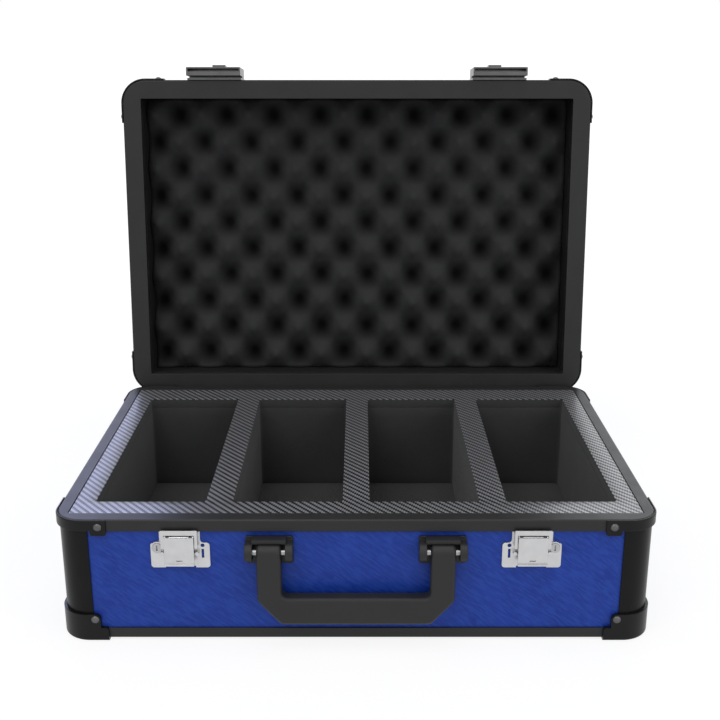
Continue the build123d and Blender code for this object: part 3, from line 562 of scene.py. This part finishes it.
def crate_face(bm, half_x, half_y, seam):
    """Adds the egg-crate's face and gives its rows. Its depth attribute holds the share of painted shade:
    0 at peaks, and 1 in valleys and at edges.
    """
    nx, ny = int(2 * half_x / CRATE_STEP), int(2 * half_y / CRATE_STEP)
    painted_shade_layer = bm.verts.layers.float.new("depth")
    rows = []
    for j in range(ny + 1):
        row = []
        for i in range(nx + 1):
            x = -half_x + 2 * half_x * i / nx
            y = -half_y + 2 * half_y * j / ny
            depth = uneven_depth(x, y)
            vert = bm.verts.new((x, MIDDLE_Y + y, seam + depth))
            # Painted shade rises near the border and towards the valleys
            edge = 1.0 - min(half_x - abs(x), half_y - abs(y)) / CRATE_SHADE_EDGE
            vert[painted_shade_layer] = max(edge, (depth - CRATE_PEAK) / (CRATE_VALLEY - CRATE_PEAK))
            row.append(vert)
        rows.append(row)
    for near, far in zip(rows, rows[1:]):
        for i in range(nx):
            bm.faces.new((near[i], far[i], far[i + 1], near[i + 1]))
    return rows


def close_back(bm, rows, level):
    """Closes the egg-crate with side walls and a flat back at this level."""
    front = rows[0][:-1]
    right = [row[-1] for row in rows[:-1]]
    rear = rows[-1][:0:-1]
    left = [row[0] for row in rows[:0:-1]]
    border = front + right + rear + left
    back = [bm.verts.new((vert.co.x, vert.co.y, level)) for vert in border]
    for k, vert in enumerate(border):
        after = (k + 1) % len(border)
        bm.faces.new((vert, border[after], back[after], back[k]))
    bm.faces.new(back)


def crate_mesh():
    """The egg-crate foam's mesh, made as in the shut lid and then carried to the standing one."""
    inset = LINING_INSET + CRATE_GAP
    seam = SEAM_Z + SEAM_GAP
    bm = bmesh.new()
    rows = crate_face(bm, CASE_W / 2 - inset, CASE_D / 2 - inset, seam)
    close_back(bm, rows, seam + LID_BOARD)
    bmesh.ops.recalc_face_normals(bm, faces=bm.faces)
    bmesh.ops.transform(bm, matrix=TO_OPEN, verts=bm.verts)
    mesh = bpy.data.meshes.new("egg_crate_foam")
    bm.to_mesh(mesh)
    bm.free()
    return mesh


def lid_soft():
    """The egg-crate foam in the lid, and the lining foam round it."""
    crate = new_object("egg_crate_foam", crate_mesh(), CRATE)
    mark_sharp(crate, CRATE_SHARP)
    half = Vector((CASE_W / 2, CASE_D / 2))
    middle = Vector((0.0, MIDDLE_Y))
    seam = SEAM_Z + SEAM_GAP
    outlines = []
    for inset, r in ((PANEL_BACK, BORDER_R), (LINING_INSET, MOUTH_R)):
        reach = half - Vector((inset, inset))
        outlines.append(rounded_outline(middle - reach, middle + reach, r, BORDER_STEP))
    lining = slab("lid_lining_foam", outlines, seam + LID_RIM, seam + LID_BOARD, FOAM_ROUND, LINING,
                  levels=LINING_LEVELS)
    lining.data.transform(TO_OPEN)
    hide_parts("lid_foam")
    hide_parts("lid_lining")
    for piece in (crate, lining):
        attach(piece, "lid")


# Floor, light and camera

FLOOR_REACH = 30.0
FLOOR_PALE = (0.86, 0.86, 0.86, 1.0)
FLOOR_WHITE = 1.12
SHADOW_REACH = 0.45
FADE_REACH = 1.3
SHADOW_SHARE = 0.25
SKY_LIGHT = (0.92, 0.95, 1.0, 1.0)
SKY_STRENGTH = 0.45
WHITE = (1.0, 1.0, 1.0)
LAVENDER = (0.47, 0.53, 1.0)
PALE_BLUE = (0.9, 0.93, 1.0)
CAMERA_AT = (3.2 * MM, MIDDLE_Y - 950.4 * MM, 493.2 * MM)
CAMERA_DOWN = 17.58
CAMERA_LENS = 53.85


def floor():
    """A pale floor, white to the camera and in reflections but for the shadow round the object."""
    bm = bmesh.new()
    bmesh.ops.create_grid(bm, x_segments=2, y_segments=2, size=FLOOR_REACH)
    mesh = bpy.data.meshes.new("floor")
    bm.to_mesh(mesh)
    bm.free()
    m = Mat("floor", FLOOR_PALE, 0.9, spec=0.1)
    path = m.node("ShaderNodeLightPath")
    white = m.node("ShaderNodeEmission")
    white.inputs["Strength"].default_value = FLOOR_WHITE
    x, y, _ = m.split()
    away = m.math("SQRT", m.math("ADD", m.math("MULTIPLY", x, x), m.math("MULTIPLY", y, y)))
    past = m.math("SUBTRACT", away, SHADOW_REACH)
    fade = m.math("DIVIDE", past, FADE_REACH - SHADOW_REACH, clamp=True)
    share = m.math("ADD", m.math("MULTIPLY", fade, SHADOW_SHARE), 1.0 - SHADOW_SHARE)
    mirrored = m.math("MAXIMUM", path.outputs["Is Glossy Ray"], path.outputs["Is Transmission Ray"])
    seen = m.math("MAXIMUM", path.outputs["Is Camera Ray"], mirrored)
    blend = m.node("ShaderNodeMixShader")
    m.link(m.math("MULTIPLY", seen, share), blend.inputs[0])
    m.link(m.bsdf.outputs[0], blend.inputs[1])
    m.link(white.outputs[0], blend.inputs[2])
    m.link(blend.outputs[0], m.tree.nodes["Material Output"].inputs["Surface"])
    new_object("floor", mesh, m.mat, False)


def sky():
    """A soft sky for the light, and a white one for the camera and for reflections."""
    world = bpy.data.worlds.new("studio")
    bpy.context.scene.world = world
    world.use_nodes = True
    tree = world.node_tree
    tree.nodes.clear()
    path = tree.nodes.new("ShaderNodeLightPath")
    mix = tree.nodes.new("ShaderNodeMixShader")
    out = tree.nodes.new("ShaderNodeOutputWorld")
    seen = path.outputs["Is Camera Ray"]
    for ray in ("Is Glossy Ray", "Is Transmission Ray"):
        either = tree.nodes.new("ShaderNodeMath")
        either.operation = "MAXIMUM"
        tree.links.new(seen, either.inputs[0])
        tree.links.new(path.outputs[ray], either.inputs[1])
        seen = either.outputs[0]
    tree.links.new(seen, mix.inputs[0])
    for socket, shade, level in ((1, SKY_LIGHT, SKY_STRENGTH), (2, (*WHITE, 1.0), 1.0)):
        background = tree.nodes.new("ShaderNodeBackground")
        background.inputs["Color"].default_value = shade
        background.inputs["Strength"].default_value = level
        tree.links.new(background.outputs[0], mix.inputs[socket])
    tree.links.new(mix.outputs[0], out.inputs["Surface"])


def lamp(name, at, toward, width, height, power, color=WHITE):
    """A rectangular lamp that faces a point. Power is in watts."""
    light = bpy.data.lights.new(name, "AREA")
    light.shape = "RECTANGLE"
    light.size, light.size_y = width, height
    light.energy = power
    light.color = color
    holder = bpy.data.objects.new(name, light)
    holder.location = at
    holder.rotation_euler = (Vector(toward) - Vector(at)).to_track_quat("-Z", "Y").to_euler()
    bpy.context.scene.collection.objects.link(holder)


def lamps():
    """A large key from the front left, a fill, a top light, and two behind for the rim's sheen."""
    lamp("key", (-0.9, -1.7, 2.3), (0, 0, 0.2), 1.6, 1.2, 17.0)
    lamp("fill", (1.6, -1.5, 1.2), (0, 0, 0.2), 1.4, 1.4, 8.0)
    lamp("top", (0.0, -0.2, 2.5), (0, -0.05, 0.1), 1.5, 1.1, 10.0)
    lamp("rim_left", (-1.1, 1.9, 1.15), (-0.2, 0, 0.1), 0.9, 0.7, 9.5, LAVENDER)
    lamp("rim_right", (1.1, 1.9, 1.15), (0.2, 0, 0.1), 0.9, 0.7, 4.5, PALE_BLUE)


def camera():
    """The photograph's view: a little above the rim, tilted down."""
    data = bpy.data.cameras.new("camera")
    data.sensor_width = 36.0
    data.lens = CAMERA_LENS
    holder = bpy.data.objects.new("camera", data)
    bpy.context.scene.collection.objects.link(holder)
    holder.location = CAMERA_AT
    holder.rotation_euler = (radians(90 - CAMERA_DOWN), 0, 0)
    bpy.context.scene.camera = holder


for node in NODES:
    dress(node)
base_soft()
lid_soft()
floor()
sky()
lamps()
camera()
bpy.context.scene.view_settings.view_transform = "Standard"
